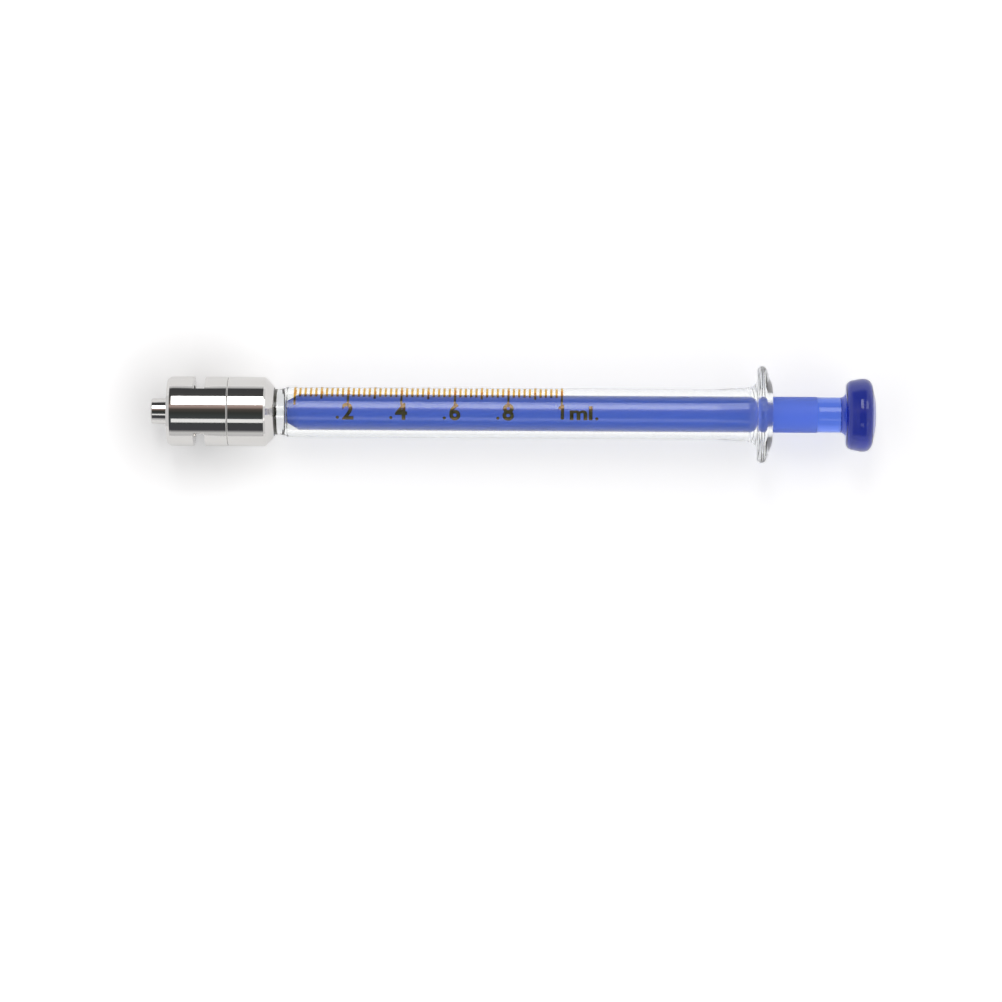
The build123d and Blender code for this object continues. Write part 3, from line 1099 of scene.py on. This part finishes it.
class SYRINGE_OT_scale(Operator):
    """Fire the scale's lines and numerals on the glass"""

    bl_idname = "syringe.scale"
    bl_label = "Scale"

    def lettering(self, s, marks):
        """Flat closed letters of (text, x, y, wide, tall) marks, on the unrolled tube."""
        letters = bmesh.new()
        lift = s.film_gap + s.film / 2
        for text, x, y, wide, tall in marks:
            font = bpy.data.curves.new("mark", "FONT")
            font.body = text
            font.size = s.digit_size
            font.align_x = "CENTER"
            font.align_y = "BOTTOM_BASELINE"
            font.extrude = s.film / 2
            font.offset = s.digit_weight
            font.resolution_u = 4
            carrier = bpy.data.objects.new("mark", font)
            mesh = bpy.data.meshes.new_from_object(carrier)
            place = Matrix.Translation((x, y, lift)) @ Matrix.Diagonal((wide, tall, 1, 1))
            mesh.transform(place)
            letters.from_mesh(mesh)
            bpy.data.objects.remove(carrier)
        bmesh.ops.remove_doubles(letters, verts=letters.verts, dist=MERGE_DISTANCE)
        return letters

    def numeral_one(self, letters, s, x, y):
        """Add a figure 1 with a flag and a stem, its stem's middle at x and its foot at y."""
        tall = s.one_height * s.digit_size
        half = s.stem_width / 2
        flag_tip = -half - s.flag_length
        flag_start = -0.4 * half
        flag_top = 0.84 * tall
        flag_foot = 0.68 * tall
        notch = 0.72 * tall
        outline = [(-half, 0), (half, 0), (half, notch), (half, tall), (flag_start, tall)]
        outline += [(flag_tip, flag_top), (flag_tip, flag_foot), (-half, notch)]
        low, high = [
            [letters.verts.new((x + dx, y + dy, z)) for dx, dy in outline]
            for z in (s.film_gap, s.film_gap + s.film)
        ]
        for panel in ((0, 1, 2, 7), (7, 2, 3, 4), (7, 4, 5, 6)):
            letters.faces.new([high[index] for index in panel])
            letters.faces.new([low[index] for index in reversed(panel)])
        for index in range(len(outline)):
            after = (index + 1) % len(outline)
            letters.faces.new((low[index], low[after], high[after], high[index]))

    def execute(self, context):
        s = context.scene.syringe_scale
        tube = context.scene.syringe_barrel.tube_radius
        stain = fired_stain(context.scene.syringe_finish)
        lines = grown(
            "scale_lines",
            scale_tree(),
            {
                "Zero": s.zero,
                "Pitch": s.capacity_length / s.divisions,
                "Tube Radius": tube,
                "Line Width": s.line_width,
                "Film": s.film,
                "Film Gap": s.film_gap,
                "Short From": s.short_from,
                "Short To": s.short_to,
                "Middle From": s.middle_from,
                "Middle To": s.middle_to,
                "Long From": s.long_from,
                "Long To": s.long_to,
                "Lines": s.divisions + 1,
                "Stain": stain,
            },
        )
        settle(lines, BARREL_BODY, "clear_glass")
        foot = -s.baseline
        tenth = s.capacity_length / 10
        marks = []
        for tenths in (2, 4, 6, 8):
            x = s.zero + tenths * tenth
            marks.append((str(tenths), x, foot - s.digit_drop, s.digit_wide, s.digit_tall))
            marks.append((".", x - s.dot_lead, foot, s.dot_scale, s.dot_scale))
        full = s.zero + s.capacity_length
        marks.append(("ml", full + s.unit_shift, foot, s.unit_wide, 1.0))
        marks.append((".", full + s.full_stop, foot, s.dot_scale, s.dot_scale))
        letters = self.lettering(s, marks)
        self.numeral_one(letters, s, full + s.one_shift, foot)
        bmesh.ops.triangulate(letters, faces=letters.faces)
        bmesh.ops.recalc_face_normals(letters, faces=letters.faces)
        mesh = bpy.data.meshes.new("scale_marks")
        letters.to_mesh(mesh)
        letters.free()
        numerals = grown(
            "scale_numerals",
            wrap_tree(),
            {"Tube Radius": tube, "Stain": stain},
            start=show("scale_marks", mesh),
        )
        settle(numerals, BARREL_BODY, "clear_glass")
        return {"FINISHED"}


class SYRINGE_OT_stage(Operator):
    """Set up the lit table, the two rows of lamps, the room and the camera"""

    bl_idname = "syringe.stage"
    bl_label = "Studio"

    def floor(self, s):
        """A floor that touches the collar's front rim and the flange's rim."""
        low_x = front("lock_collar") + s.rest_inset
        low_z = -radius("lock_collar")
        high_x = (bpy.context.scene.syringe_barrel.flange_front + rear("glass_barrel")) / 2
        high_z = -radius("glass_barrel")
        tilt = math.atan2(low_z - high_z, high_x - low_x)
        mesh = bpy.data.meshes.new("floor")
        half = s.floor_size / 2
        corners = [(-half, -half, 0), (half, -half, 0), (half, half, 0), (-half, half, 0)]
        mesh.from_pydata(corners, [], [(0, 1, 2, 3)])
        # Middle of the table's painted shadow round the hub, in the floor's own coordinates.
        hub_x = s.hub_middle - high_x
        mesh.materials.append(lit_table(s.table_glow, s.hub_dim, hub_x, s.hub_shade))
        plane = show("floor", mesh)
        plane.location = (high_x, 0, high_z - s.floor_gap)
        plane.rotation_euler = (0, tilt, 0)
        return Vector((math.sin(tilt), 0, math.cos(tilt)))

    def lamp(self, name, s, angle, width, radiance, start, span):
        """A lamp whose face is turned to the syringe, at an angle from the top towards +Y."""
        data = bpy.data.lights.new(name, "AREA")
        data.shape = "RECTANGLE"
        data.size = span
        data.size_y = width
        data.energy = radiance * math.pi * span * width
        lamp = bpy.data.objects.new(name, data)
        away = Vector((0, math.sin(angle), math.cos(angle)))
        lamp.location = AXIS * (start + span / 2) + away * s.lamp_distance
        lamp.rotation_mode = "QUATERNION"
        lamp.rotation_quaternion = Quaternion(AXIS, -angle)
        bpy.context.scene.collection.objects.link(lamp)
        return lamp

    def lamps(self, s):
        """Two rows of lamps along the syringe, a wide and a narrow one, each of two lamps."""
        rows = (
            ("key", s.key_angle, s.key_width, s.key_radiance),
            ("strip", s.strip_angle, s.strip_width, s.strip_radiance),
        )
        for name, angle, width, radiance in rows:
            near = (radiance, s.lamp_start, s.lamp_length)
            far = (radiance * s.next_share, s.next_lamp, s.next_length)
            self.lamp(f"{name}_near", s, angle, width, *near)
            beyond = self.lamp(f"{name}_far", s, angle, width, *far)
            beyond.visible_transmission = False
            beyond.visible_diffuse = False

    def room(self, s):
        """Dim walls and ceiling across the syringe, bright ones beyond its ends."""
        world = bpy.data.worlds.new("room")
        world.use_nodes = True
        bpy.context.scene.world = world
        tree = world.node_tree
        way = add(tree, "ShaderNodeTexCoord").outputs["Generated"]
        part = add(tree, "ShaderNodeSeparateXYZ", {0: way}).outputs
        round_axis = math_node(tree, "ARCTAN2", part[1], part[2])
        turn = add(
            tree,
            "ShaderNodeMapRange",
            {"Value": round_axis, "From Min": -math.pi, "From Max": math.pi},
        ).outputs[0]
        ramp = add(tree, "ShaderNodeValToRGB", {"Fac": turn})
        stops = ramp.color_ramp
        while len(stops.elements) < len(ROOM_BANDS):
            stops.elements.new(0.5)
        for element, (degrees, colour) in zip(stops.elements, ROOM_BANDS):
            element.position = (degrees + 180) / 360
            element.color = (*colour, 1)
        pale = add(
            tree,
            "ShaderNodeMapRange",
            {
                "Value": part[2],
                "From Min": s.horizon_full,
                "From Max": s.horizon_end,
                "To Min": 1,
                "To Max": 0,
            },
        ).outputs[0]
        horizon = add(
            tree,
            "ShaderNodeMix",
            {0: pale, 6: ramp.outputs[0], 7: (*s.horizon_tint, 1)},
            data_type="RGBA",
        ).outputs[2]
        endward = math_node(tree, "ABSOLUTE", part[0])
        beyond = add(
            tree,
            "ShaderNodeMapRange",
            {"Value": endward, "From Min": s.side_from, "From Max": s.side_full},
        ).outputs[0]
        ends = add(
            tree,
            "ShaderNodeMix",
            {0: beyond, 6: horizon, 7: (s.side_glow, s.side_glow, s.side_glow * 1.01, 1)},
            data_type="RGBA",
        ).outputs[2]
        background = tree.nodes["Background"]
        tree.links.new(ends, background.inputs["Color"])

    def camera(self, s, upright):
        """A camera that faces the floor squarely."""
        data = bpy.data.cameras.new("camera")
        data.lens = s.camera_lens
        data.sensor_width = 36
        data.clip_end = 20
        camera = bpy.data.objects.new("camera", data)
        camera.location = Vector((s.aim_x, s.aim_y, 0)) + upright * s.camera_distance
        camera.rotation_mode = "QUATERNION"
        right = Vector((upright.z, 0, -upright.x))
        facing = Matrix((right, upright.cross(right), upright)).transposed().to_quaternion()
        camera.rotation_quaternion = facing @ Quaternion((0, 0, 1), s.roll)
        bpy.context.scene.collection.objects.link(camera)
        bpy.context.scene.camera = camera

    def execute(self, context):
        s = context.scene.syringe_studio
        upright = self.floor(s)
        self.lamps(s)
        self.room(s)
        self.camera(s, upright)
        context.scene.view_settings.view_transform = "Standard"
        return {"FINISHED"}


class VIEW3D_PT_syringe(Panel):
    """Sidebar panel that lists the syringe's pieces"""

    bl_idname = "VIEW3D_PT_syringe"
    bl_label = "Glass Syringe"
    bl_space_type = "VIEW_3D"
    bl_region_type = "UI"
    bl_category = "Syringe"

    def draw(self, context):
        column = self.layout.column()
        for piece in OPERATORS:
            column.operator(piece.bl_idname)


SETTINGS = {
    "syringe_barrel": BarrelSettings,
    "syringe_plunger": PlungerSettings,
    "syringe_hub": HubSettings,
    "syringe_scale": ScaleSettings,
    "syringe_finish": FinishSettings,
    "syringe_studio": StudioSettings,
}
OPERATORS = (
    SYRINGE_OT_barrel,
    SYRINGE_OT_plunger,
    SYRINGE_OT_collar,
    SYRINGE_OT_nozzle,
    SYRINGE_OT_ferrule,
    SYRINGE_OT_seals,
    SYRINGE_OT_scale,
    SYRINGE_OT_stage,
)


def register():
    """Register the settings, operators and panel."""
    for name, group in SETTINGS.items():
        bpy.utils.register_class(group)
        setattr(bpy.types.Scene, name, PointerProperty(type=group))
    for piece in OPERATORS:
        bpy.utils.register_class(piece)
    bpy.utils.register_class(VIEW3D_PT_syringe)


def unregister():
    """Remove what register added."""
    bpy.utils.unregister_class(VIEW3D_PT_syringe)
    for piece in reversed(OPERATORS):
        bpy.utils.unregister_class(piece)
    for name, group in SETTINGS.items():
        delattr(bpy.types.Scene, name)
        bpy.utils.unregister_class(group)


def main():
    """Build every piece and the studio."""
    register()
    bpy.ops.syringe.barrel()
    bpy.ops.syringe.plunger()
    bpy.ops.syringe.collar()
    bpy.ops.syringe.nozzle()
    bpy.ops.syringe.ferrule()
    bpy.ops.syringe.seals()
    bpy.ops.syringe.scale()
    bpy.ops.syringe.stage()


if __name__ == "__main__":
    main()
